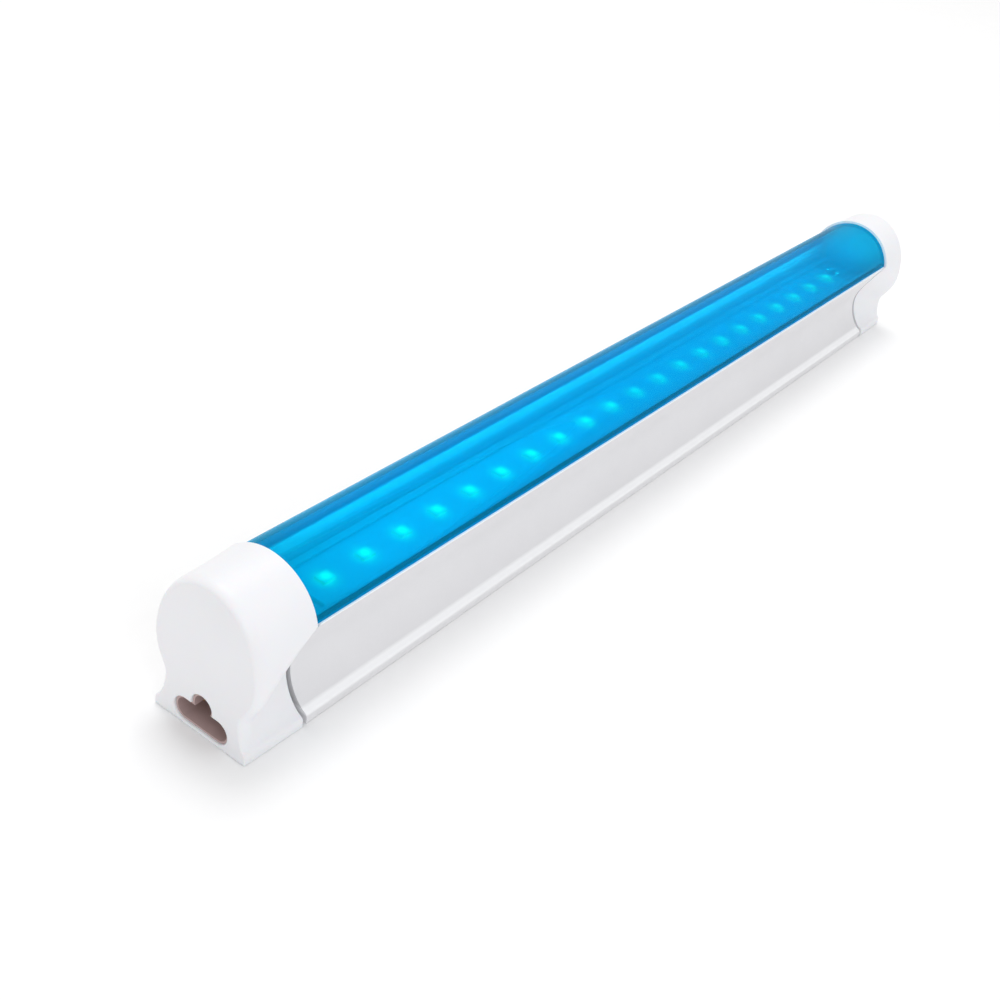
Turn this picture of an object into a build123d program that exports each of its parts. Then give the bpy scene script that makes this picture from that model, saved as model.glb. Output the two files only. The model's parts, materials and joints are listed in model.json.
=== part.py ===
"""A one-foot LED light tube with its driver and sockets built in.

The tube lies along X with its base on Z = 0 and its light side up. The origin is the middle of
the base. Millimetres. Cross-sections are drawn in the YZ plane and run along X.
"""

import os
from math import cos, hypot, radians, sin, tan

from build123d import *

os.makedirs("parts", exist_ok=True)

# ---------------------------------------------------------------- driving dimensions
TUBE_LENGTH = 304.8
CAP_LENGTH = 15.6
AXIS_HEIGHT = 22.75  # centre of the round light side
BODY_RADIUS = 13.0  # from that centre to the housing's lips
COVER_RADIUS = 12.5  # the cover sits just inside the lips
CAP_RADIUS = 13.25
COVER_WALL = 1.1
HOUSING_WALL = 1.25
CAP_WALL = 1.5
FOOT_HALF = 12.1
FOOT_EDGE = 2.2  # height of the foot's upright edge
TOE_ROUND = 0.8  # its rounded top corner
SEAM_ANGLE = 13.6  # where the cover meets the housing, above the horizontal
FLANK_LEAN = 26.6  # the flank under the seam, from the vertical
WAIST_HALF = 6.5
WAIST_HEIGHT = 11.6
CAP_FOOT = 12.3
CAP_WAIST = 6.6
END_HALF = 13.8  # a cap swells towards its end
END_MIDDLE = 18.5  # height of the widest place there
END_TOP = 35.7
END_FOOT = 12.1
END_WAIST = 10.6
END_WAIST_HEIGHT = 8.8
END_INSET = 1.4  # how far a cap's flat end lies inside its sides
END_ROUND = 2.6  # and the length that this rounding takes along the tube
END_LEAN = 0.5
QUARTER = 0.5523  # handle length that makes a Bezier curve follow a quarter of an ellipse
HAIR = 0.03  # keeps two curves just short of tangent, so that every lofted section has the same edges
CAP_GAP = 1.2  # shadow gap between cap and housing
FIT = 0.06  # clearance between pieces that touch

GROOVE_NEAR = 0.8  # the snap groove: its two sides from the flank, and down from the seam
GROOVE_FAR = 1.95  # its floor, and the rib on its inner side
GROOVE_FLOOR = 2.7
GROOVE_RIB = 1.3
GROOVE_WALL = 0.7
LEG_GAP = 0.12  # clearance of the cover's legs in the grooves

WEB_TOP = 19.7  # the web carries the LED board and closes the driver's chamber
WEB_THICK = 1.3
TROUGH_HALF = 8.15
HOOK_WIDE = 0.7  # the hooked lips over the LED board's edges
HOOK_HIGH = 1.8
HOOK_REACH = 1.7
HOOK_THICK = 0.6
LED_PITCH = 12.0
LED_COUNT = 21
BOARD_HALF = 7.05
BOARD_THICK = 1.0
LED_SIZE = (3.5, 2.8, 0.7)

LOBE_RADIUS = 2.25  # the three-lobed socket
LOBE_SPREAD = 4.3
LOBE_LOW = 3.3
LOBE_HIGH = 6.6
SOCKET_DEPTH = 10.0
SOCKET_BACK = 2.4
INSERT_START = 0.6  # the socket insert lies this far inside the cap's end
LINING = 0.5
SLEEVE_WALL = 0.9
PIN_RADIUS = 0.9
PIN_ROOT = 1.3  # the collar that is moulded into the socket's back
PIN_REACH = 5.5
PIN_TIP = 0.35

PCB_UNDER = 2.5
PCB_THICK = 1.2
PCB_HALF = 7.0
PCB_LENGTH = 120.0
WIRE_RADIUS = 0.65
WIRE_HOLE = 1.75  # radius of the hole in the web for the LED board's two wires
CHANNEL_WIDE = 9.0  # the shallow channel under the base
CHANNEL_DEEP = 0.4

# ---------------------------------------------------------------- derived places
HALF_LENGTH = TUBE_LENGTH / 2
RIM = HALF_LENGTH - CAP_LENGTH  # the plane where cap and cover meet
HOUSING_HALF = RIM - CAP_GAP
BOARD_LENGTH = LED_PITCH * LED_COUNT
BOARD_UNDER = WEB_TOP + FIT
BOARD_TOP = BOARD_UNDER + BOARD_THICK
PCB_TOP = PCB_UNDER + PCB_THICK
WEB_HOLE_X = BOARD_LENGTH / 2 + 2.4
SOCKET_FLOOR = HALF_LENGTH - SOCKET_DEPTH
SOCKET_END = SOCKET_FLOOR - SOCKET_BACK
TAG_END = SOCKET_END - 3.5
LOBES = ((-LOBE_SPREAD, LOBE_LOW), (LOBE_SPREAD, LOBE_LOW), (0, LOBE_HIGH))


# ---------------------------------------------------------------- cross-sections
def on_circle(radius, angle):
    """A point of the round light side, by radius and angle above the horizontal."""
    return (radius * cos(radians(angle)), AXIS_HEIGHT + radius * sin(radians(angle)))


def on_flank(down, inset):
    """A point under the seam: down along the flank, then inset square to it."""
    y, z = on_circle(BODY_RADIUS, SEAM_ANGLE)
    lean = radians(FLANK_LEAN)
    return (y - down * sin(lean) - inset * cos(lean), z - down * cos(lean) + inset * sin(lean))


def side(foot, base, waist, waist_height, top, lean):
    """The right-hand side, from the middle of the base round the foot and waist up to top."""
    edge, toe = (base + 0.3, 0.1) if base else (FOOT_EDGE, TOE_ROUND)
    rise = waist_height - edge
    instep = ((foot + waist) / 2, edge + 0.13 * rise)
    slope = hypot(instep[0] - foot, instep[1] - edge) / toe
    flare = (foot + (instep[0] - foot) / slope, edge + (instep[1] - edge) / slope)
    reach = 0.55 * (top[1] - waist_height)
    lean = radians(lean)
    Polyline((0, base), (foot, base), (foot, edge - toe))
    Bezier((foot, edge - toe), (foot, edge), flare)
    Bezier(
        flare,
        (instep[0], instep[1] + HAIR),
        (waist, waist_height - 0.44 * rise),
        (waist, waist_height),
    )
    Bezier(
        (waist, waist_height),
        (waist, waist_height + 0.25 * (top[1] - waist_height)),
        (top[0] - reach * sin(lean), top[1] - reach * cos(lean)),
        top,
    )


def rim_face(x, inset=0.0, base=0.0):
    """An end cap's cross-section where it meets the housing."""
    foot = CAP_FOOT - 1.3 * inset
    radius = CAP_RADIUS - inset
    top = on_circle(radius, 90)
    seam = on_circle(radius, SEAM_ANGLE)
    with BuildSketch(Plane.YZ.offset(x)) as face:
        with BuildLine():
            side(foot, base, CAP_WAIST - inset, WAIST_HEIGHT, seam, FLANK_LEAN)
            ThreePointArc(seam, on_circle(radius, (SEAM_ANGLE + 90) / 2), top)
            Line(top, (0, base))
        make_face()
        mirror(about=Plane.YZ)
    return face.sketch


def end_face(x, inset=0.0, base=0.0, foot_inset=0.0):
    """The fuller cross-section towards a cap's end, where the waist fades out."""
    half = END_HALF - inset
    top = END_TOP - inset
    rise = QUARTER * (top - END_MIDDLE)
    with BuildSketch(Plane.YZ.offset(x)) as face:
        with BuildLine():
            seam = (half, END_MIDDLE)
            waist = END_WAIST - inset
            side(END_FOOT - foot_inset, base, waist, END_WAIST_HEIGHT, seam, END_LEAN)
            Bezier(seam, (half, END_MIDDLE + rise), (QUARTER * half, top), (0, top))
            Line((0, top), (0, base))
        make_face()
        mirror(about=Plane.YZ)
    return face.sketch


def chamber(inset):
    """The housing's lower chamber, as an outline inset from the housing's outside."""
    roof = WEB_TOP - WEB_THICK - (inset - HOUSING_WALL)
    seam_y, seam_z = on_circle(BODY_RADIUS, SEAM_ANGLE)
    lean = radians(FLANK_LEAN)
    corner = (seam_y - (seam_z - roof) * tan(lean) - inset / cos(lean), roof)
    foot = FOOT_HALF - 1.9 * inset
    with BuildSketch() as face:
        with BuildLine():
            side(foot, inset, WAIST_HALF - inset, WAIST_HEIGHT, corner, FLANK_LEAN)
            Polyline(corner, (0, roof), (0, inset))
        make_face()
        mirror(about=Plane.YZ)
    return face.sketch_local


def board_slots(grow):
    """The ribs that the chamber leaves standing: two under the driver board and two over it."""
    with BuildSketch() as face:
        for hand in (-1, 1):
            with Locations((hand * 6.7, PCB_UNDER / 2 - FIT)):
                Rectangle(1.0 + 2 * grow, PCB_UNDER + 2 * grow)
            with Locations((hand * 8.0, PCB_TOP + 0.4)):
                Rectangle(3.4 + 2 * grow, 0.6 + 2 * grow)
    return face.sketch_local


def trefoil(grow):
    """The three-lobed socket outline, grown by an amount."""
    with BuildSketch() as face:
        with Locations(*LOBES):
            Circle(LOBE_RADIUS + grow)
        with Locations((0, LOBE_LOW)):
            Rectangle(2 * LOBE_SPREAD, 2 * (LOBE_RADIUS + grow))
    return face.sketch_local


def finish(name, part):
    """Labels one finished piece and writes it as its own file."""
    part.label = name
    export_step(part, f"parts/{name}.step")


def both_ends(name, part):
    """Writes the piece at the -X end and its mirror image at the +X end."""
    finish(f"{name}_left", part)
    with BuildPart() as other:
        mirror(part, about=Plane.YZ)
    finish(f"{name}_right", other.part)


# ---------------------------------------------------------------- housing
with BuildPart() as housing:
    with BuildSketch(Plane.YZ.offset(-HOUSING_HALF)):
        with BuildLine():
            lip = on_flank(FIT, 0)
            side(FOOT_HALF, 0, WAIST_HALF, WAIST_HEIGHT, lip, FLANK_LEAN)
            Polyline(lip, (0, lip[1]), (0, 0))
        make_face()
        mirror(about=Plane.YZ)
    extrude(amount=2 * HOUSING_HALF)

    # the open light trough above the web, with a snap groove for the cover along each edge
    with BuildSketch(Plane.YZ.offset(-HOUSING_HALF)):
        with BuildLine():
            Polyline(
                (0, WEB_TOP),
                (TROUGH_HALF, WEB_TOP),
                on_flank(GROOVE_FLOOR + GROOVE_WALL, HOUSING_WALL),
                on_flank(GROOVE_FLOOR + GROOVE_WALL, GROOVE_FAR + GROOVE_WALL),
                on_flank(GROOVE_RIB, GROOVE_FAR + GROOVE_WALL),
                on_flank(GROOVE_RIB, GROOVE_FAR),
                on_flank(GROOVE_FLOOR, GROOVE_FAR),
                on_flank(GROOVE_FLOOR, GROOVE_NEAR),
                on_flank(GROOVE_NEAR, GROOVE_NEAR),
                lip,
                on_flank(-2, 0),
                (0, on_flank(-2, 0)[1]),
                (0, WEB_TOP),
            )
        make_face()
        mirror(about=Plane.YZ)
        # two hooked lips stay standing, to hold the LED board by its edges
        for hand in (-1, 1):
            outer = BOARD_HALF + HOOK_WIDE + 0.1
            with Locations((hand * (outer - HOOK_WIDE / 2), WEB_TOP + HOOK_HIGH / 2)):
                Rectangle(HOOK_WIDE, HOOK_HIGH, mode=Mode.SUBTRACT)
            with Locations((hand * (outer - HOOK_REACH / 2), WEB_TOP + HOOK_HIGH - HOOK_THICK / 2)):
                Rectangle(HOOK_REACH, HOOK_THICK, mode=Mode.SUBTRACT)
    extrude(amount=2 * HOUSING_HALF, mode=Mode.SUBTRACT)

    # the lower chamber, less the ribs that hold the driver board
    with BuildSketch(Plane.YZ.offset(-HOUSING_HALF)):
        add(chamber(HOUSING_WALL))
        add(board_slots(0), mode=Mode.SUBTRACT)
    extrude(amount=2 * HOUSING_HALF, mode=Mode.SUBTRACT)

    # a shallow channel under the base, and the hole for the LED board's wires
    with BuildSketch(Plane.YZ.offset(-HOUSING_HALF)):
        Rectangle(CHANNEL_WIDE, 2 * CHANNEL_DEEP)
    extrude(amount=2 * HOUSING_HALF, mode=Mode.SUBTRACT)
    with BuildSketch(Plane.XY.offset(WEB_TOP - WEB_THICK - 0.5)):
        with Locations((WEB_HOLE_X, 0)):
            Circle(WIRE_HOLE)
    extrude(amount=WEB_THICK + 1, mode=Mode.SUBTRACT)
finish("housing", housing.part)

# ---------------------------------------------------------------- tinted cover
with BuildPart() as cover:
    with BuildSketch(Plane.YZ.offset(-RIM + FIT)):
        inner = COVER_RADIUS - COVER_WALL
        far_side = 180 - SEAM_ANGLE
        with BuildLine():
            ThreePointArc(*[on_circle(COVER_RADIUS, a) for a in (SEAM_ANGLE, 90, far_side)])
            Line(on_circle(COVER_RADIUS, far_side), on_circle(inner, far_side))
            ThreePointArc(*[on_circle(inner, a) for a in (far_side, 90, SEAM_ANGLE)])
            Line(on_circle(inner, SEAM_ANGLE), on_circle(COVER_RADIUS, SEAM_ANGLE))
        make_face()
        # a leg down from each edge snaps into the housing's groove
        near, far, tip = GROOVE_NEAR + LEG_GAP, GROOVE_FAR - LEG_GAP, GROOVE_FLOOR - LEG_GAP
        leg = [on_flank(*place) for place in ((0, near), (tip, near), (tip, far), (0, far))]
        for hand in (-1, 1):
            with BuildLine():
                Polyline(*[(hand * y, z) for y, z in leg], close=True)
            make_face()
    extrude(amount=2 * (RIM - FIT))
finish("cover", cover.part)

# ---------------------------------------------------------------- end caps
OUT = -HALF_LENGTH
with BuildPart() as end_cap:
    # rounded end, then the waist deepening towards the rim
    for turn in (0, 20, 45, 70, 90):
        inset = END_INSET * (1 - sin(radians(turn)))
        x = OUT + END_ROUND * (1 - cos(radians(turn)))
        add(end_face(x, inset, foot_inset=0.1 * inset))
    add(rim_face(-RIM))
    loft(ruled=True)
    # hollow inside, closed at the rim by a shoulder that faces the light trough
    add(end_face(OUT + 2.0, CAP_WALL + 0.6, 1.2, 2.6))
    add(end_face(OUT + 4.0, CAP_WALL + 0.3, 1.2, 2.3))
    add(rim_face(-RIM - 2.4, CAP_WALL, 1.2))
    loft(ruled=True, mode=Mode.SUBTRACT)
    # the socket's sleeve, from the end wall inwards
    with BuildSketch(Plane.YZ.offset(OUT + 1.0)):
        add(trefoil(LINING + SLEEVE_WALL))
        with Locations((0, -1)):
            Rectangle(40, 2.4, mode=Mode.SUBTRACT)
    extrude(amount=SOCKET_DEPTH + SOCKET_BACK - 1.5)
    with BuildSketch(Plane.YZ.offset(OUT - 1)):
        add(trefoil(LINING))
    extrude(amount=SOCKET_DEPTH + SOCKET_BACK + 1, mode=Mode.SUBTRACT)
    # the tongue that fits the housing's lower chamber, and the way through it for wires
    with BuildSketch(Plane.YZ.offset(-RIM - 1.5)):
        add(chamber(HOUSING_WALL + 2 * FIT))
        add(board_slots(2 * FIT), mode=Mode.SUBTRACT)
    extrude(amount=7.5)
    with BuildSketch(Plane.YZ.offset(-RIM - 2.5)):
        add(chamber(HOUSING_WALL + 1.2))
        add(board_slots(0.4), mode=Mode.SUBTRACT)
    extrude(amount=9.0, mode=Mode.SUBTRACT)
both_ends("end_cap", end_cap.part)

# ---------------------------------------------------------------- sockets and their contacts
with BuildPart() as socket_insert:
    with BuildSketch(Plane.YZ.offset(OUT + INSERT_START)):
        add(trefoil(LINING - FIT))
    extrude(amount=SOCKET_DEPTH + SOCKET_BACK - INSERT_START)
    with BuildSketch(Plane.YZ.offset(OUT)):
        add(trefoil(0))
    extrude(amount=SOCKET_DEPTH, mode=Mode.SUBTRACT)
    with BuildSketch(Plane.YZ.offset(-SOCKET_FLOOR - 1)):
        with Locations(*LOBES):
            Circle(PIN_ROOT)
    extrude(amount=SOCKET_BACK + 2, mode=Mode.SUBTRACT)
both_ends("socket_insert", socket_insert.part)

with BuildPart() as contact_pins:
    # round pins with chamfered tips, a collar behind each and a flat solder tag behind that
    with BuildSketch(Plane.YZ.offset(-SOCKET_FLOOR - PIN_REACH)):
        with Locations(*LOBES):
            Circle(PIN_RADIUS)
    extrude(amount=PIN_REACH)
    chamfer(contact_pins.faces().sort_by(Axis.X)[:3].edges(), PIN_TIP)
    with BuildSketch(Plane.YZ.offset(-SOCKET_FLOOR)):
        with Locations(*LOBES):
            Circle(PIN_ROOT)
    extrude(amount=SOCKET_BACK)
    with BuildSketch(Plane.YZ.offset(-SOCKET_END)):
        with Locations(*LOBES):
            Rectangle(2.4, 1.2)
    extrude(amount=SOCKET_END - TAG_END)
both_ends("contact_pins", contact_pins.part)

# ---------------------------------------------------------------- LED board
LED_SPOTS = GridLocations(LED_PITCH, 1, LED_COUNT, 1)
with BuildPart() as led_board:
    with BuildSketch(Plane.XY.offset(BOARD_UNDER)):
        Rectangle(BOARD_LENGTH, 2 * BOARD_HALF)
    extrude(amount=BOARD_THICK)
finish("led_board", led_board.part)

with BuildPart() as led_packages:
    with BuildSketch(Plane.XY.offset(BOARD_TOP)):
        with LED_SPOTS:
            Rectangle(LED_SIZE[0], LED_SIZE[1])
    extrude(amount=LED_SIZE[2])
    with BuildSketch(Plane.XY.offset(BOARD_TOP + LED_SIZE[2] - 0.3)):
        with LED_SPOTS:
            RectangleRounded(2.6, 2.1, 0.4)
    extrude(amount=0.3, mode=Mode.SUBTRACT)
finish("led_packages", led_packages.part)

with BuildPart() as led_windows:
    with BuildSketch(Plane.XY.offset(BOARD_TOP + LED_SIZE[2] - 0.3)):
        with LED_SPOTS:
            RectangleRounded(2.6, 2.1, 0.4)
    extrude(amount=0.27)
finish("led_windows", led_windows.part)

# ---------------------------------------------------------------- driver board and its parts
with BuildPart() as driver_board:
    with BuildSketch(Plane.XY.offset(PCB_UNDER)):
        Rectangle(PCB_LENGTH, 2 * PCB_HALF)
    extrude(amount=PCB_THICK)
finish("driver_board", driver_board.part)

with BuildPart() as insulation_film:
    with BuildSketch(Plane.XY.offset(HOUSING_WALL + 0.05)):
        Rectangle(PCB_LENGTH + 8, 11.6)
    extrude(amount=0.25)
finish("insulation_film", insulation_film.part)


def lying_can(name, x, radius, length):
    """A capacitor can on its side along X, with the crimped groove near its rubber end."""
    with BuildPart() as can:
        with BuildSketch(Plane.YZ.offset(x - length / 2)):
            with Locations((0, PCB_TOP + radius)):
                Circle(radius)
        extrude(amount=length)
        with BuildSketch(Plane.YZ.offset(x - length / 2 + 1.4)):
            with Locations((0, PCB_TOP + radius)):
                Circle(radius)
                Circle(radius - 0.45, mode=Mode.SUBTRACT)
        extrude(amount=0.9, mode=Mode.SUBTRACT)
    finish(name, can.part)


def block(name, x, size, rounding=0.0, y=0.0):
    """A moulded component standing on the driver board."""
    with BuildPart() as body:
        with BuildSketch(Plane.XY.offset(PCB_TOP)):
            with Locations((x, y)):
                Rectangle(size[0], size[1])
        extrude(amount=size[2])
        if rounding:
            fillet(body.edges().filter_by(Axis.Z), rounding)
            fillet(body.faces().sort_by(Axis.Z)[-1].edges(), rounding)
    finish(name, body.part)


lying_can("bulk_capacitor", -5, 3.9, 14)
lying_can("output_capacitor", 42, 3.9, 12)
block("film_capacitor", -36, (11, 5, 9.5), 0.6)
block("bridge_rectifier", -25, (4.7, 3.9, 2.5), 0.3)
block("driver_ic", 8.5, (4.9, 3.9, 1.6), 0.2)
block("output_diode", 30, (4.3, 2.6, 2.2), 0.2)

with BuildPart() as fuse_resistor:
    with BuildSketch(Plane.XZ.offset(-3.2)):
        with Locations((-54, PCB_TOP + 1.35)):
            Circle(1.3)
    extrude(amount=6.4)
    fillet(fuse_resistor.edges().filter_by(GeomType.CIRCLE), 0.5)
finish("fuse_resistor", fuse_resistor.part)

with BuildPart() as varistor:
    with BuildSketch(Plane.YZ.offset(-47.5)):
        with Locations((0, PCB_TOP + 3.7)):
            Circle(3.6)
    extrude(amount=3.0)
    fillet(varistor.edges().filter_by(GeomType.CIRCLE), 0.9)
finish("varistor", varistor.part)

# a drum-core choke: the ferrite drum, and the winding in its waist
with BuildPart() as choke_core:
    for under, radius, height in ((0, 4.4, 1.4), (1.4, 2.2, 6.8), (8.2, 4.4, 1.4)):
        with BuildSketch(Plane.XY.offset(under)):
            Circle(radius)
        extrude(amount=height)
choke_place = Location((20, 0, PCB_TOP))
finish("choke_core", choke_core.part.moved(choke_place))
with BuildPart() as choke_winding:
    with BuildSketch(Plane.XY.offset(1.45)):
        Circle(4.0)
        Circle(2.25, mode=Mode.SUBTRACT)
    extrude(amount=6.7)
finish("choke_winding", choke_winding.part.moved(choke_place))

with BuildPart() as chip_parts:
    with BuildSketch(Plane.XY.offset(PCB_TOP)):
        with Locations(*[(x, y) for x in (-30, -16, 4, 13, 26, 34) for y in (-5.2, 5.2)]):
            Rectangle(2.0, 1.25)
    extrude(amount=0.55)
finish("chip_parts", chip_parts.part)

# ---------------------------------------------------------------- wires inside the housing


def wire(points, bend):
    """One insulated wire as straight runs joined by tangent arcs."""
    with BuildPart() as strand:
        with BuildLine() as path:
            FilletPolyline(*points, radius=bend)
        with BuildSketch(Plane(path.line @ 0, z_dir=path.line % 0)):
            Circle(WIRE_RADIUS)
        sweep()
    return strand.part


def through_wire(name, lobe, high_y, beside):
    """A wire from a socket's tag to the same tag at the other end, over the driver."""
    y, z = lobe[0] + beside, lobe[1]
    left = [(-TAG_END, y, z), (-122, y, z), (-113, high_y, 11.0), (-104, high_y, 16.9)]
    right = [(-px, py, pz) for px, py, pz in reversed(left)]
    finish(name, wire(left + right, 8))


through_wire("line_wire", LOBES[0], -4.0, -0.38)
through_wire("neutral_wire", LOBES[1], 4.0, 0.38)
through_wire("earth_wire", LOBES[2], -2.6, -0.7)

with BuildPart() as input_wires:
    for lobe, inward in ((LOBES[0], 0.98), (LOBES[1], -0.98)):
        y = lobe[0] + inward
        run = [(-TAG_END, y, LOBE_LOW), (-100, y, LOBE_LOW), (-66, y * 0.8, 5.4), (-57.5, y * 0.8, 4.5)]
        add(wire(run, 8))
finish("input_wires", input_wires.part)

with BuildPart() as output_wires:
    for hand in (-1, 1):
        y = hand * 0.85
        pad = BOARD_TOP + WIRE_RADIUS
        route = [
            (56, hand * 3, PCB_TOP + WIRE_RADIUS + 0.05),
            (66, hand * 2, 5.2),
            (80, y, 14.4),
            (WEB_HOLE_X, y, 14.6),
            (WEB_HOLE_X, y, 21.9),
            (WEB_HOLE_X - 3.6, hand * 1.6, pad + 0.1),
        ]
        add(wire(route, 1.4))
finish("output_wires", output_wires.part)

with BuildPart() as earth_spring:
    # a bent strip from under the earth tag down to the housing's floor
    with BuildSketch(Plane.XZ.offset(-1.3)):
        with BuildLine():
            Polyline(
                (-TAG_END - 3.0, LOBE_HIGH - 0.65),
                (-128, LOBE_HIGH - 0.65),
                (-125, HOUSING_WALL + 0.45),
                (-119, HOUSING_WALL + 0.45),
                (-118, HOUSING_WALL + 1.2),
                (-118, HOUSING_WALL + 0.75),
                (-118.85, HOUSING_WALL + 0.05),
                (-125.3, HOUSING_WALL + 0.05),
                (-128.3, LOBE_HIGH - 1.05),
                (-TAG_END - 3.0, LOBE_HIGH - 1.05),
                close=True,
            )
        make_face()
    extrude(amount=2.6)
finish("earth_spring", earth_spring.part)
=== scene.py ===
import json
import math

import bmesh
import bpy
from mathutils import Matrix, Vector


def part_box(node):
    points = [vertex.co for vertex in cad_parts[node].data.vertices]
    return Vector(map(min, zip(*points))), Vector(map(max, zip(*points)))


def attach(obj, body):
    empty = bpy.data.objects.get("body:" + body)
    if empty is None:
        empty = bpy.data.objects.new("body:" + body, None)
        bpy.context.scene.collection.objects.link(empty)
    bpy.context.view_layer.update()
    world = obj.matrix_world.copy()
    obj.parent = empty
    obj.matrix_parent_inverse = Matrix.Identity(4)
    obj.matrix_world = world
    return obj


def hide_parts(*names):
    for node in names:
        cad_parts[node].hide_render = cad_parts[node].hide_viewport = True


# The looks of a one-foot LED light tube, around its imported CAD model. The row frame has its origin
# in the middle of the base, +X along the tube and +Z up towards the light side. Cross-sections are
# drawn in millimetres as (across, up) points, and become metres where a mesh is made.

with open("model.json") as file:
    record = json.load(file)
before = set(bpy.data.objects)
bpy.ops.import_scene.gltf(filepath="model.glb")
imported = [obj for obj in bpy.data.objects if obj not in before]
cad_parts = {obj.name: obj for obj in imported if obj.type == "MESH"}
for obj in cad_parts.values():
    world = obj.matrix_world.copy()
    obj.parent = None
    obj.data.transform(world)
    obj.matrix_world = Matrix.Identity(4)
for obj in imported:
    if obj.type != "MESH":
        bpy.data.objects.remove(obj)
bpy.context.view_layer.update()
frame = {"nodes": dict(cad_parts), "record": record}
NODES = frame["nodes"]
SLOT_OF = {part["node"]: part["material_slot"] for part in frame["record"]["subparts"]}
MM = 0.001

# ---------------------------------------------------------------- dimensions, in millimetres
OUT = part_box("end_cap_left")[0].x / MM  # the left cap's outer end
FIT = 0.06  # clearance between pieces that touch
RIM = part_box("cover")[0].x / MM - FIT  # where the left cap meets the cover
AXIS_HEIGHT = 22.75  # centre of the round light side
BODY_RADIUS = 13.0
HOUSING_WALL = 1.25
HOUSING_FOOT = 12.1
HOUSING_WAIST = 6.5
WAIST_HEIGHT = 11.6
WEB_UNDER = 18.4  # roof of the driver's chamber
FOOT_EDGE = 2.2  # height of the foot's upright edge
TOE_ROUND = 0.8  # its rounded top corner
HEEL_ROUND = 0.12  # and the corner under it
INNER_EDGE = 0.3  # a cavity's foot: its upright edge and the rounding over it
INNER_TOE = 0.1
SEAM_ANGLE = 13.6  # where the cover meets the housing, above the horizontal
SEAM_HEIGHT = 25.7  # height of the cover's long edges
FLANK_LEAN = 26.6  # the flank under the seam, from the vertical
CAP_RADIUS = 13.25
CAP_FOOT = 12.3
CAP_WAIST = 6.6
CAP_WALL = 1.5
CAP_FLOOR = 1.2
END_WALL = 2.2
RIM_WALL = 2.4
SIDE_STEPS = 10  # sections between a cap's end and its rim
END_HALF = 13.8  # a cap swells towards its end
END_MIDDLE = 18.5  # height of the widest place there
END_TOP = 35.7
END_FOOT = 12.1
END_WAIST = 10.6
END_WAIST_HEIGHT = 8.8
END_INSET = 1.4  # how far a cap's flat end lies inside its sides
END_ROUND = 2.6  # and the length that the rounding takes along the tube
RIM_ROUND = 0.15  # the rim's soft edge
RIM_BEND = 0.04  # and its middle
TONGUE_ROOT = 1.5  # the tongue that fits the housing's chamber starts this far inside the cap
TONGUE_REACH = 6.0  # and ends this far beyond it
TONGUE_SLACK = 1.0  # between the tongue and the chamber's wall
TONGUE_WALL = 1.1
TONGUE_UNDER = 4.7  # height of its underside
TONGUE_FLOOR = 1.2
WAY_ROOT = 3.0  # the way through it for wires starts in the cap's cavity
LOBE_RADIUS = 2.25  # the three-lobed socket
LOBE_SPREAD = 4.3
LOBE_LOW = 3.3
LOBE_HIGH = 6.6
LINING = 0.5  # the socket insert's wall, inside the cap's bore
MOUTH_ROUND = 0.35  # rounding of the bore's mouth
SLEEVE_WALL = 0.9  # the cap's sleeve round the insert
SLEEVE_FLOOR = 0.4
SLEEVE_START = 1.2
SOCKET_LENGTH = 12.4
LED_PITCH = 12.0
LED_COUNT = 21
LED_HALF = 1.75
BOARD_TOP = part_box("led_board")[1].z / MM
FILLET_LENGTH = 0.55  # the solder beside each LED
FILLET_HEIGHT = 0.42
FILLET_HALF = 1.05
FILLET_FLARE = 0.12
PAST = 1.0  # a cutting tool reaches this far past what it cuts

# ---------------------------------------------------------------- camera
LENS = 50.13
SENSOR = 36.0
CAMERA_PLACE = Vector((-0.29493, -0.13506, 0.19175))
CAMERA_TILT = 0.582  # radians below the horizontal
CAMERA_HEADING = 0.518  # radians from +X towards +Y
CAMERA_ROLL = 0.210  # radians about its own axis


def add_camera():
    """A camera looking down along the tube from beyond its left cap."""
    flat = Vector((math.cos(CAMERA_HEADING), math.sin(CAMERA_HEADING), 0))
    up = flat * math.sin(CAMERA_TILT) + Vector((0, 0, math.cos(CAMERA_TILT)))
    ahead = flat * math.cos(CAMERA_TILT) - Vector((0, 0, math.sin(CAMERA_TILT)))
    turn = Matrix.Rotation(-CAMERA_ROLL, 3, ahead)
    right = ahead.cross(up)
    rolled = Matrix((turn @ right, turn @ up, -ahead)).transposed()
    data = bpy.data.cameras.new("camera")
    data.lens = LENS
    data.sensor_width = SENSOR
    data.clip_start = 0.01
    camera = bpy.data.objects.new("camera", data)
    camera.matrix_world = Matrix.Translation(CAMERA_PLACE) @ rolled.to_4x4()
    bpy.context.scene.collection.objects.link(camera)
    bpy.context.scene.camera = camera


add_camera()

# ---------------------------------------------------------------- light and floor
WORLD_STRENGTH = 0.79
STRIP_RISE = 1.2  # millimetres from the LED board to the light that stands for all the LEDs
STRIP_WIDTH = 6.0
FLOOR_HALF = 3.0  # in metres
FLOOR_TOP = -0.0001  # just clear of the foot


def area_light(name, place, size, power, color=(1, 1, 1)):
    """A soft square light, in metres and watts, aimed at the middle of the base."""
    data = bpy.data.lights.new(name, "AREA")
    data.size = size
    data.energy = power
    data.color = color
    light = bpy.data.objects.new(name, data)
    light.location = place
    light.rotation_euler = (-Vector(place)).to_track_quat("-Z", "Y").to_euler()
    bpy.context.scene.collection.objects.link(light)
    return light


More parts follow.
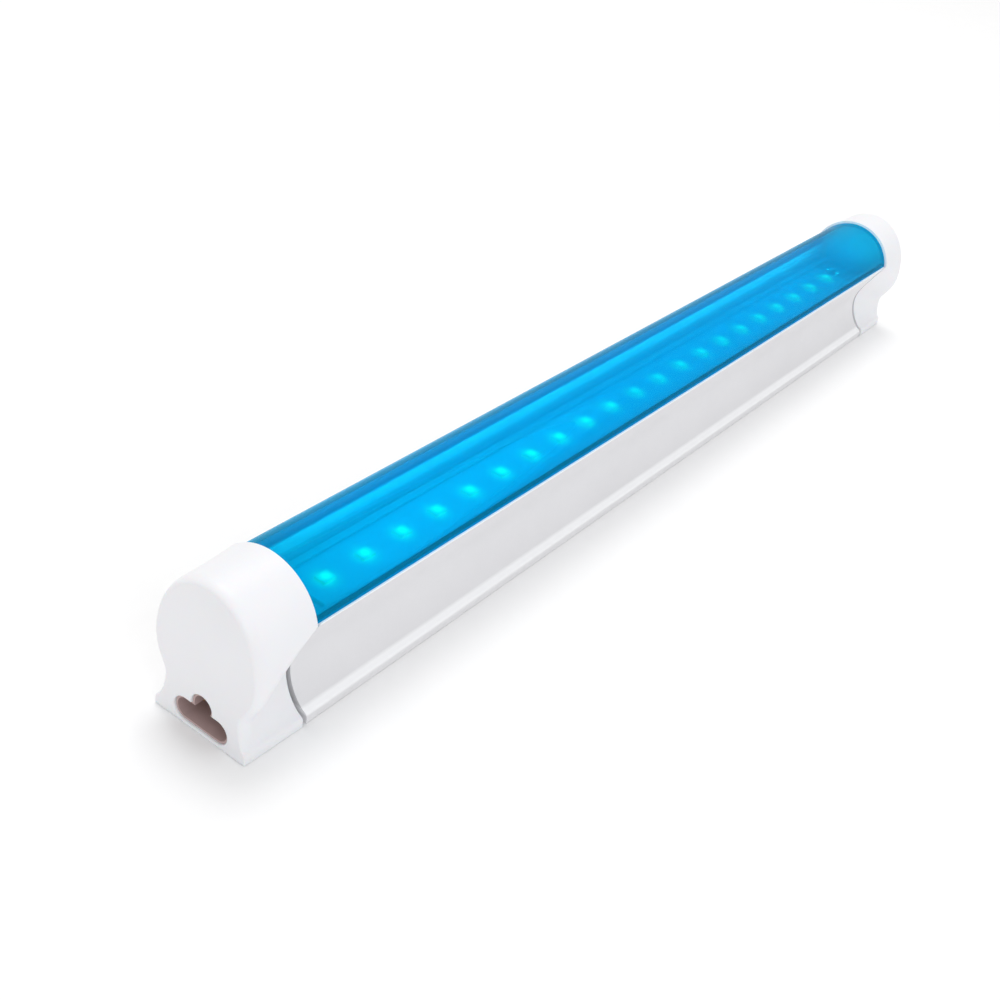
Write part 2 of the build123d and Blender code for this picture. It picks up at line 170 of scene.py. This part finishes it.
def add_studio():
    """An even white surround, a soft light from the front left and a soft one from above."""
    world = bpy.data.worlds.new("studio")
    world.use_nodes = True
    background = world.node_tree.nodes["Background"]
    background.inputs["Color"].default_value = (1.0, 0.995, 0.99, 1)
    background.inputs["Strength"].default_value = WORLD_STRENGTH
    bpy.context.scene.world = world
    area_light("front_light", (-0.55, -1.1, 0.9), 0.8, 3.4, (0.88, 0.93, 1.0))
    area_light("top_light", (0.25, 0.35, 1.35), 0.7, 6.4)


def add_led_light():
    """The light of all the LEDs: one narrow strip over the board that shines up into the cover."""
    place = (0, 0, (BOARD_TOP + STRIP_RISE) * MM)
    light = area_light("led_light", place, LED_PITCH * LED_COUNT * MM, 0.085, (0.5, 0.95, 1.0))
    light.data.shape = "RECTANGLE"
    light.data.size_y = STRIP_WIDTH * MM
    light.rotation_euler = (math.pi, 0, 0)
    light.visible_camera = False


add_studio()
add_led_light()
bpy.context.scene.view_settings.view_transform = "Standard"


# ---------------------------------------------------------------- node materials
ALONG = (0.04, 1, 1)  # stretches a pattern along the tube, as extruding or drawing does
EDGE_WEAR_AND_HIGHLIGHT = 0.4  # width of a lighter sharp edge, rubbed wear with a painted highlight, in millimetres
UNEVEN = 0.05  # how far a roughness strays to either side
GLOW_REACH = 5.0  # how far from an LED's centre its painted glow ends, in millimetres


class Shading:
    """One material's node tree, with short ways to add and link its nodes."""

    def __init__(self, name):
        packed = bpy.data.materials.get(name)
        if packed:
            packed.name = "packed_" + name
        self.material = bpy.data.materials.new(name)
        self.material.use_nodes = True
        self.tree = self.material.node_tree
        self.shader = self.tree.nodes["Principled BSDF"]
        self.output = self.tree.nodes["Material Output"]
        self.place = self.add("ShaderNodeTexCoord").outputs["Object"]
        self.base = None

    def add(self, kind, inputs=None, **settings):
        """A new node: plain values and sockets go to its inputs by name or number."""
        made = self.tree.nodes.new(kind)
        for key, value in settings.items():
            setattr(made, key, value)
        for key, value in (inputs or {}).items():
            self.feed(made.inputs[key], value)
        return made

    def feed(self, socket, value):
        """Sets a socket to a plain value, or links it to another socket."""
        if isinstance(value, bpy.types.NodeSocket):
            self.tree.links.new(value, socket)
        else:
            socket.default_value = value

    def set(self, **values):
        """Sets or links the Principled shader's inputs, with _ for each space."""
        for key, value in values.items():
            self.feed(self.shader.inputs[key.replace("_", " ")], value)

    def math(self, operation, *values):
        """The result of a Math node."""
        return self.add("ShaderNodeMath", dict(enumerate(values)), operation=operation).outputs[0]

    def noise(self, scale, detail, stretch=(1, 1, 1), seed=(0, 0, 0)):
        """Noise on the object's own coordinates, at a scale per metre."""
        moved = {"Vector": self.place, "Scale": stretch, "Location": seed}
        mapped = self.add("ShaderNodeMapping", moved).outputs[0]
        inputs = {"Vector": mapped, "Scale": scale, "Detail": detail}
        return self.add("ShaderNodeTexNoise", inputs).outputs["Fac"]

    def spread(self, value, low, high, start=0.3, end=0.7):
        """A 0 to 1 value spread out between low and high."""
        inputs = {"Value": value, "From Min": start, "From Max": end, "To Min": low, "To Max": high}
        return self.add("ShaderNodeMapRange", inputs).outputs[0]

    def mix(self, factor, first, second):
        """A mix of two colours."""
        inputs = {0: factor, 6: first, 7: second}
        return self.add("ShaderNodeMix", inputs, data_type="RGBA").outputs[2]

    def bump(self, height, distance):
        """A bump of a real height in metres."""
        inputs = {"Height": height, "Distance": distance, "Strength": 1.0}
        return self.add("ShaderNodeBump", inputs).outputs[0]

    def edges(self, radius):
        """1 on sharp edges, 0 away from them."""
        soft = self.add("ShaderNodeBevel", {"Radius": radius}, samples=4).outputs[0]
        real = self.add("ShaderNodeNewGeometry").outputs["Normal"]
        same = self.add("ShaderNodeVectorMath", {0: soft, 1: real}, operation="DOT_PRODUCT")
        return self.spread(same.outputs["Value"], 1.0, 0.0, 0.80, 0.985)

    def place_along(self, axis):
        """The object's own coordinate along X, Y or Z, in metres."""
        return self.add("ShaderNodeSeparateXYZ", {0: self.place}).outputs[axis]


def shade(color, factor):
    """A colour made lighter or darker, as four numbers."""
    return tuple(min(1.0, channel * factor) for channel in color) + (1.0,)


def finish(name, color, rough, tone=0.03, patch=90, grain=2500, relief=0.01,
           stretch=(1, 1, 1), wear_and_highlight=0.0, **sockets):
    """A finish: faint tone patches, uneven roughness, relief in millimetres, and sharp edges painted
    lighter as rubbed wear with a painted highlight.
    """
    made = Shading(name)
    patches = made.spread(made.noise(patch, 3.0, stretch), 0.0, 1.0)
    made.base = made.mix(patches, shade(color, 1 - tone), shade(color, 1 + tone))
    smudges = made.noise(patch * 2.7, 4.0, stretch, (3, 1, 2))
    roughness = made.spread(smudges, rough - UNEVEN, rough + UNEVEN)
    # sharp edges painted lighter: partly rubbed wear, partly a painted highlight
    if wear_and_highlight:
        painted_highlight = made.math("MULTIPLY", made.edges(EDGE_WEAR_AND_HIGHLIGHT * MM), wear_and_highlight)
        made.base = made.mix(painted_highlight, made.base, shade(color, 1.25))
    normal = made.bump(made.noise(grain, 3.0, stretch), relief * MM)
    made.set(Base_Color=made.base, Roughness=roughness, Normal=normal, **sockets)
    return made


def powder_coat():
    """White powder coat on extruded aluminium: orange peel over die lines, and painted highlights
    along two ridges, the foot's rounded edge and the lip under the cover.
    """
    made = finish("white_powder_coat", (0.765, 0.76, 0.775), 0.42, tone=0.012, patch=60)
    height = made.place_along("Z")
    # painted highlight: two lighter bands, at the foot's rounded top edge and at the lip under the
    # cover's seam
    painted_highlight_bands = []
    for ridge, reach in ((FOOT_EDGE + 0.3, 0.8), (SEAM_HEIGHT, 1.1)):
        away = made.math("ABSOLUTE", made.math("SUBTRACT", height, ridge * MM))
        painted_highlight_bands.append(made.spread(away, 1.0, 0.0, 0.4 * reach * MM, reach * MM))
    painted_highlight = made.math("MAXIMUM", *painted_highlight_bands)
    peel = made.noise(1400, 2.0)
    lines = made.noise(1800, 2.0, ALONG)
    both = made.math("ADD", made.math("MULTIPLY", peel, 0.8), made.math("MULTIPLY", lines, 0.5))
    # in those bands the base is painted towards near white as a highlight
    made.set(
        Base_Color=made.mix(painted_highlight, made.base, (0.96, 0.965, 0.975, 1)),
        Normal=made.bump(both, 0.012 * MM),
        Specular_IOR_Level=0.4,
    )
    return made


def tinted_cover():
    """Slightly milky blue polycarbonate: the more wall is looked through, the deeper its tint."""
    made = Shading("blue_cover")
    streaks = made.noise(900, 3.0, ALONG)
    haze = made.noise(70, 3.0, (0.3, 1, 1), (5, 0, 0))
    made.set(
        Base_Color=made.mix(haze, (0.001, 0.38, 0.70, 1), (0.002, 0.42, 0.76, 1)),
        Roughness=made.spread(haze, 0.12, 0.22),
        Normal=made.bump(streaks, 0.004 * MM),
        Specular_IOR_Level=0.05,
    )
    clear = made.add("ShaderNodeBsdfTransparent", {"Color": (0.12, 0.86, 0.915, 1)}).outputs[0]
    slant = made.add("ShaderNodeFresnel", {"IOR": 1.25}).outputs[0]
    milky = made.spread(slant, 0.32, 0.55, 0.0, 1.0)
    wall = made.add("ShaderNodeMixShader", {0: milky, 1: clear, 2: made.shader.outputs[0]})
    tint = {"Color": (0.50, 0.92, 0.93, 1), "Density": 1200.0}
    depth = made.add("ShaderNodeVolumeAbsorption", tint)
    made.feed(made.output.inputs["Surface"], wall.outputs[0])
    made.feed(made.output.inputs["Volume"], depth.outputs[0])
    return made


def paint_led_glow(made, peak):
    """Painted LED light as emission, on the LEDs themselves and round them: soft spots that fade out
    with distance. On the phosphor it stands for the lit LED; on the package, solder and board it is
    painted light.
    """
    # painted light: emission strength that falls off from each LED's centre out to GLOW_REACH
    along = made.math("PINGPONG", made.place_along("X"), LED_PITCH / 2 * MM)
    across = made.place_along("Y")
    squares = made.math("ADD", made.math("POWER", along, 2.0), made.math("POWER", across, 2.0))
    near = made.spread(made.math("SQRT", squares), 1.0, 0.0, 0.0, GLOW_REACH * MM)
    strength = made.math("MULTIPLY", made.math("POWER", near, 2.5), peak)
    made.set(Emission_Color=(0.03, 1.0, 0.35, 1), Emission_Strength=strength)
    return made


def board_mask():
    """White solder mask over copper tracks."""
    made = finish("board_mask", (0.83, 0.86, 0.88), 0.32, tone=0.02, patch=120)
    across = made.place_along("Y")
    track = made.math("PINGPONG", made.math("ADD", across, 0.9 * MM), 1.8 * MM)
    height = made.spread(track, 0.0, 1.0, 0.75 * MM, 0.95 * MM)
    made.set(Normal=made.bump(height, 0.02 * MM))
    return made


def striped_wire():
    """Yellow insulation with green stripes along it."""
    yellow = (0.75, 0.62, 0.05)
    made = finish("green_yellow_insulation", yellow, 0.4, stretch=ALONG)
    band = made.math("PINGPONG", made.place_along("Z"), 0.3 * MM)
    stripe = made.spread(band, 0.0, 1.0, 0.13 * MM, 0.17 * MM)
    made.set(Base_Color=made.mix(stripe, shade(yellow, 1.0), (0.05, 0.32, 0.08, 1)))
    return made


def make_materials():
    """One material for each of the record's material slots."""
    # materials with a painted LED glow, each with its peak emission strength
    painted_glow = [
        (finish("led_phosphor", (0.80, 0.88, 0.88), 0.35, grain=5000, relief=0.004), 2.7),
        (finish("led_body", (0.83, 0.86, 0.87), 0.45, tone=0.02, relief=0.006), 2.5),
        (finish("solder", (0.80, 0.83, 0.85), 0.45, tone=0.05, Metallic=0.5), 2.3),
        (board_mask(), 2.3),
    ]
    # the wear values lighten sharp edges: rubbed wear with a painted highlight
    plain = [
        finish("cap_plastic", (0.84, 0.84, 0.865), 0.40, tone=0.012, patch=50, grain=2200,
               relief=0.006, wear_and_highlight=0.3, Specular_IOR_Level=0.4, Subsurface_Weight=0.12,
               Subsurface_Scale=0.002),
        finish("socket_plastic", (0.47, 0.345, 0.335), 0.55, tone=0.12, relief=0.015, wear_and_highlight=0.4),
        finish("contact_metal", (0.78, 0.66, 0.42), 0.28, tone=0.06, relief=0.004, wear_and_highlight=0.4,
               Metallic=1.0),
        finish("chip_ceramic", (0.05, 0.05, 0.055), 0.45, tone=0.15, wear_and_highlight=0.5),
        finish("driver_laminate", (0.42, 0.31, 0.13), 0.5, tone=0.1, stretch=(0.3, 1, 1), wear_and_highlight=0.4),
        finish("film", (0.80, 0.82, 0.76), 0.25, tone=0.04, relief=0.004),
        finish("can_sleeve", (0.03, 0.035, 0.06), 0.3, tone=0.15, relief=0.006, wear_and_highlight=0.4),
        finish("film_capacitor_case", (0.75, 0.56, 0.08), 0.35, tone=0.05, wear_and_highlight=0.4),
        finish("black_epoxy", (0.03, 0.03, 0.032), 0.6, tone=0.2, grain=4000, relief=0.012,
               wear_and_highlight=0.5),
        finish("varistor_epoxy", (0.04, 0.14, 0.42), 0.28, tone=0.06, relief=0.008),
        finish("fuse_body", (0.30, 0.42, 0.28), 0.4, tone=0.06),
        finish("ferrite", (0.07, 0.07, 0.075), 0.65, tone=0.2, grain=3500, relief=0.02, wear_and_highlight=0.6),
        finish("copper_winding", (0.62, 0.25, 0.10), 0.3, tone=0.1, grain=1500, relief=0.05,
               stretch=(0.05, 0.05, 1), Metallic=1.0),
        finish("brown_insulation", (0.20, 0.08, 0.03), 0.42, tone=0.1, stretch=ALONG),
        finish("blue_insulation", (0.04, 0.12, 0.45), 0.42, tone=0.1, stretch=ALONG),
        finish("white_insulation", (0.82, 0.82, 0.80), 0.42, stretch=ALONG),
        finish("spring_strip", (0.70, 0.50, 0.28), 0.3, tone=0.08, stretch=ALONG, wear_and_highlight=0.4,
               Metallic=1.0),
    ]
    special = [powder_coat(), tinted_cover(), striped_wire()]
    glowing = [paint_led_glow(made, peak) for made, peak in painted_glow]
    return {made.material.name: made.material for made in glowing + plain + special}


MATERIALS = make_materials()


# ---------------------------------------------------------------- cross-sections, in millimetres
def on_circle(radius, angle):
    """A point of the round light side, by radius and angle above the horizontal."""
    turn = math.radians(angle)
    return Vector((radius * math.cos(turn), AXIS_HEIGHT + radius * math.sin(turn)))


def arc(middle, across, rise, start, end, steps):
    """Points along an elliptical arc between two angles in degrees above the horizontal."""
    points = []
    for step in range(steps + 1):
        turn = math.radians(start + (end - start) * step / steps)
        points.append(middle + Vector((across * math.cos(turn), rise * math.sin(turn))))
    return points


def quarter(steps):
    """Evenly spread angles from 0 to a quarter turn, in radians."""
    return [math.radians(90 * step / steps) for step in range(steps + 1)]


def curve(steps, *handles):
    """Points along a Bezier curve with any number of handles, without its last point."""
    points = []
    for step in range(steps):
        left = list(handles)
        while len(left) > 1:
            left = [a.lerp(b, step / steps) for a, b in zip(left, left[1:])]
        points.append(left[0])
    return points


def corner(before, at, after, radius):
    """A small rounded corner, as points."""
    start = at + (before - at).normalized() * radius
    end = at + (after - at).normalized() * radius
    return curve(6, start, at, end) + [end]


def side(foot, base, waist, waist_height, top, lean):
    """The right-hand side, from the middle of the base round the foot and waist up to top.

    A cavity's base lies higher, and its foot has almost no upright edge.
    """
    edge, toe = FOOT_EDGE, TOE_ROUND
    if base > 0.5:
        edge, toe = base + INNER_EDGE, INNER_TOE
    rise = waist_height - edge
    reach = 0.55 * (top.y - waist_height)
    turn = math.radians(lean)
    heel, brow, pinch = Vector((foot, base)), Vector((foot, edge)), Vector((waist, waist_height))
    instep = Vector(((foot + waist) / 2, edge + 0.13 * rise))
    over = Vector((waist, waist_height + 0.25 * (top.y - waist_height)))
    under_top = Vector((top.x - reach * math.sin(turn), top.y - reach * math.cos(turn)))
    points = curve(5, Vector((0, base)), heel)
    points += corner(points[-1], heel, brow, HEEL_ROUND)
    rounded = corner(heel, brow, instep, toe)
    flare = curve(16, rounded[-1], instep, Vector((waist, waist_height - 0.44 * rise)), pinch)
    return points + rounded[:-1] + flare + curve(16, pinch, over, under_top, top)


def closed(right):
    """A full outline from its right-hand side, which starts and ends on the middle line."""
    return right + [Vector((-point.x, point.y)) for point in reversed(right[1:-1])]


def with_dome(right, middle, half, rise, start=0):
    """A full outline: a right-hand side and an elliptical dome over it, mirrored."""
    return closed(right + arc(Vector((0, middle)), half, rise, start, 90, 30))


def rim_outline(inset=0.0, base=0.0):
    """An end cap's cross-section where it meets the housing."""
    foot = CAP_FOOT - 1.3 * inset
    radius = CAP_RADIUS - inset
    seam = on_circle(radius, SEAM_ANGLE)
    right = side(foot, base, CAP_WAIST - inset, WAIST_HEIGHT, seam, FLANK_LEAN)
    return with_dome(right, AXIS_HEIGHT, radius, radius, SEAM_ANGLE)


def end_outline(inset, base, foot_inset):
    """The fuller cross-section towards a cap's end, where the waist fades out."""
    foot, waist, half = END_FOOT - foot_inset, END_WAIST - inset, END_HALF - inset
    right = side(foot, base, waist, END_WAIST_HEIGHT, Vector((half, END_MIDDLE)), 0)
    return with_dome(right, END_MIDDLE, half, END_TOP - inset - END_MIDDLE)


def chamber_outline(inset):
    """The housing's lower chamber, at an inset from the housing's outside."""
    roof = WEB_UNDER - (inset - HOUSING_WALL)
    seam = on_circle(BODY_RADIUS, SEAM_ANGLE)
    lean = math.radians(FLANK_LEAN)
    top = Vector((seam.x - (seam.y - roof) * math.tan(lean) - inset / math.cos(lean), roof))
    foot, waist = HOUSING_FOOT - 1.9 * inset, HOUSING_WAIST - inset
    right = side(foot, inset, waist, WAIST_HEIGHT, top, FLANK_LEAN)
    return closed(right + [top, Vector((0, roof))])


def no_lower(outline, floor):
    """An outline with everything under a floor lifted to it."""
    return [Vector((point.x, max(point.y, floor))) for point in outline]


def trefoil(grow):
    """The three-lobed socket outline, grown by an amount."""
    radius = LOBE_RADIUS + grow
    shelf = LOBE_LOW + radius
    notch = math.degrees(math.asin((shelf - LOBE_HIGH) / radius))
    right = [Vector((0, LOBE_LOW - radius))]
    right += arc(Vector((LOBE_SPREAD, LOBE_LOW)), radius, radius, -90, 90, 24)
    right += arc(Vector((0, LOBE_HIGH)), radius, radius, notch, 90, 16)
    return closed(right)


# ---------------------------------------------------------------- mesh making
def add_mesh(name, build, material):
    """An object whose mesh build() fills in, with one material."""
    mesh = bpy.data.meshes.new(name)
    shape = bmesh.new()
    build(shape)
    bmesh.ops.recalc_face_normals(shape, faces=shape.faces)
    shape.to_mesh(mesh)
    shape.free()
    mesh.materials.append(MATERIALS[material])
    made = bpy.data.objects.new(name, mesh)
    bpy.context.scene.collection.objects.link(made)
    return made


def loft(sections):
    """A closed solid through sections, each an x and an outline in millimetres."""

    def build(shape):
        rings = [
            [shape.verts.new((x * MM, point.x * MM, point.y * MM)) for point in outline]
            for x, outline in sections
        ]
        for ring, following in zip(rings, rings[1:]):
            for index in range(len(ring)):
                after = (index + 1) % len(ring)
                shape.faces.new((ring[index], ring[after], following[after], following[index]))
        shape.faces.new(rings[0])
        shape.faces.new(reversed(rings[-1]))

    return add_mesh("tool", build, "cap_plastic")


def combine(body, tool, operation):
    """Cuts a tool from a body or joins it on, and removes the tool."""
    change = body.modifiers.new(operation, "BOOLEAN")
    change.operation = operation
    change.solver = "EXACT"
    change.object = tool
    bpy.context.view_layer.update()
    evaluated = body.evaluated_get(bpy.context.evaluated_depsgraph_get())
    result = bpy.data.meshes.new_from_object(evaluated)
    body.modifiers.clear()
    body.data = result
    bpy.data.objects.remove(tool)


def smooth(piece, angle=35):
    """Smooth shading that larger faces lead, with crisp edges beyond an angle in degrees."""
    piece.data.shade_smooth()
    piece.data.set_sharp_from_angle(angle=math.radians(angle))
    weigh = piece.modifiers.new("even_shading", "WEIGHTED_NORMAL")
    weigh.keep_sharp = True
    weigh.weight = 80


# ---------------------------------------------------------------- end caps
def cap_sections():
    """The cap's outside: a flat end, its rounding, the sides to the rim and its soft edge."""
    sections = []
    for turn in quarter(14):
        inset = END_INSET * (1 - math.sin(turn))
        outline = end_outline(inset, 0.06 * inset, 0.1 * inset)
        sections.append((OUT + END_ROUND * (1 - math.cos(turn)), outline))
    (start, full), rim = sections[-1], rim_outline()
    for step in range(1, SIDE_STEPS + 1):
        share = step / SIDE_STEPS
        x = start + (RIM - RIM_ROUND - start) * share
        sections.append((x, [a.lerp(b, share) for a, b in zip(full, rim)]))
    sections.append((RIM - RIM_BEND, rim_outline(RIM_BEND)))
    sections.append((RIM, rim_outline(RIM_ROUND)))
    return sections


def bore_sections():
    """The socket's bore with a small rounding at its mouth."""
    sections = [(OUT - PAST, trefoil(LINING + MOUTH_ROUND))]
    for turn in quarter(4):
        grow = MOUTH_ROUND * (1 - math.sin(turn))
        sections.append((OUT + MOUTH_ROUND * (1 - math.cos(turn)), trefoil(LINING + grow)))
    return sections + [(OUT + SOCKET_LENGTH + PAST, trefoil(LINING))]


def prism(start, end, outline):
    """A solid with the same outline all along."""
    return loft([(start, outline), (end, outline)])


def make_cap(name, node, mirror):
    """A hollow end cap with the socket's sleeve and a tongue; mirrored, it is the right one."""
    cap = loft(cap_sections())
    # the walls thicken towards the end, where the outside rounds in
    cavity = [
        (OUT + END_WALL, end_outline(CAP_WALL + 0.6, CAP_FLOOR, 2.6)),
        (OUT + END_WALL + 2.3, end_outline(CAP_WALL + 0.3, CAP_FLOOR, 2.3)),
        (RIM - RIM_WALL, rim_outline(CAP_WALL, CAP_FLOOR)),
    ]
    combine(cap, loft(cavity), "DIFFERENCE")
    sleeve = no_lower(trefoil(LINING + SLEEVE_WALL), SLEEVE_FLOOR)
    combine(cap, prism(OUT + SLEEVE_START, OUT + SOCKET_LENGTH, sleeve), "UNION")
    inset, under = HOUSING_WALL + TONGUE_SLACK, TONGUE_UNDER
    tongue = no_lower(chamber_outline(inset), under)
    combine(cap, prism(RIM - TONGUE_ROOT, RIM + TONGUE_REACH, tongue), "UNION")
    way = no_lower(chamber_outline(inset + TONGUE_WALL), under + TONGUE_FLOOR)
    combine(cap, prism(RIM - WAY_ROOT, RIM + TONGUE_REACH + PAST, way), "DIFFERENCE")
    combine(cap, loft(bore_sections()), "DIFFERENCE")
    cap.name = name
    if mirror:
        cap.data.transform(Matrix.Scale(-1, 4, (1, 0, 0)))
        cap.data.flip_normals()
    smooth(cap)
    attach(cap, "root")
    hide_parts(node)


make_cap("fine_cap_left", "end_cap_left", mirror=False)
make_cap("fine_cap_right", "end_cap_right", mirror=True)


# ---------------------------------------------------------------- solder beside each LED
def add_fillet(shape, x, hand):
    """A concave fillet of solder, from the board up an LED's terminal, that widens on the board."""
    rows = []
    turns = quarter(5)
    for turn in turns:
        out = FILLET_LENGTH * (1 - math.sin(turn))
        up = FILLET_HEIGHT * (1 - math.cos(turn))
        half = FILLET_HALF + FILLET_FLARE * (1 - turn / turns[-1])
        rows.append((out, up, half))
    rows.append((0, 0, FILLET_HALF))
    verts = []
    for out, up, half in rows:
        place = x + hand * (LED_HALF + out)
        ends = [Vector((place, y, BOARD_TOP + up)) * MM for y in (-half, half)]
        verts.append([shape.verts.new(point) for point in ends])
    for row, following in zip(verts, verts[1:] + verts[:1]):
        shape.faces.new((row[0], row[1], following[1], following[0]))
    for end in (0, 1):
        shape.faces.new([row[end] for row in verts])


def build_solder(shape):
    """Two fillets for each LED."""
    for index in range(LED_COUNT):
        x = (index - (LED_COUNT - 1) / 2) * LED_PITCH
        for hand in (-1, 1):
            add_fillet(shape, x, hand)


solder = add_mesh("led_solder", build_solder, "solder")
smooth(solder, 50)
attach(solder, "root")

# ---------------------------------------------------------------- materials on the CAD nodes
for node, slot in SLOT_OF.items():
    for holder in NODES[node].material_slots:
        holder.material = MATERIALS[slot]


# ---------------------------------------------------------------- floor
def build_floor(shape):
    """A wide flat floor just under the foot."""
    corners = [(-1, -1), (1, -1), (1, 1), (-1, 1)]
    verts = [(x * FLOOR_HALF, y * FLOOR_HALF, FLOOR_TOP) for x, y in corners]
    shape.faces.new([shape.verts.new(vert) for vert in verts])


MATERIALS["floor"] = finish("floor", (0.93, 0.93, 0.93), 0.85, tone=0.005, relief=0.0).material
add_mesh("floor", build_floor, "floor")
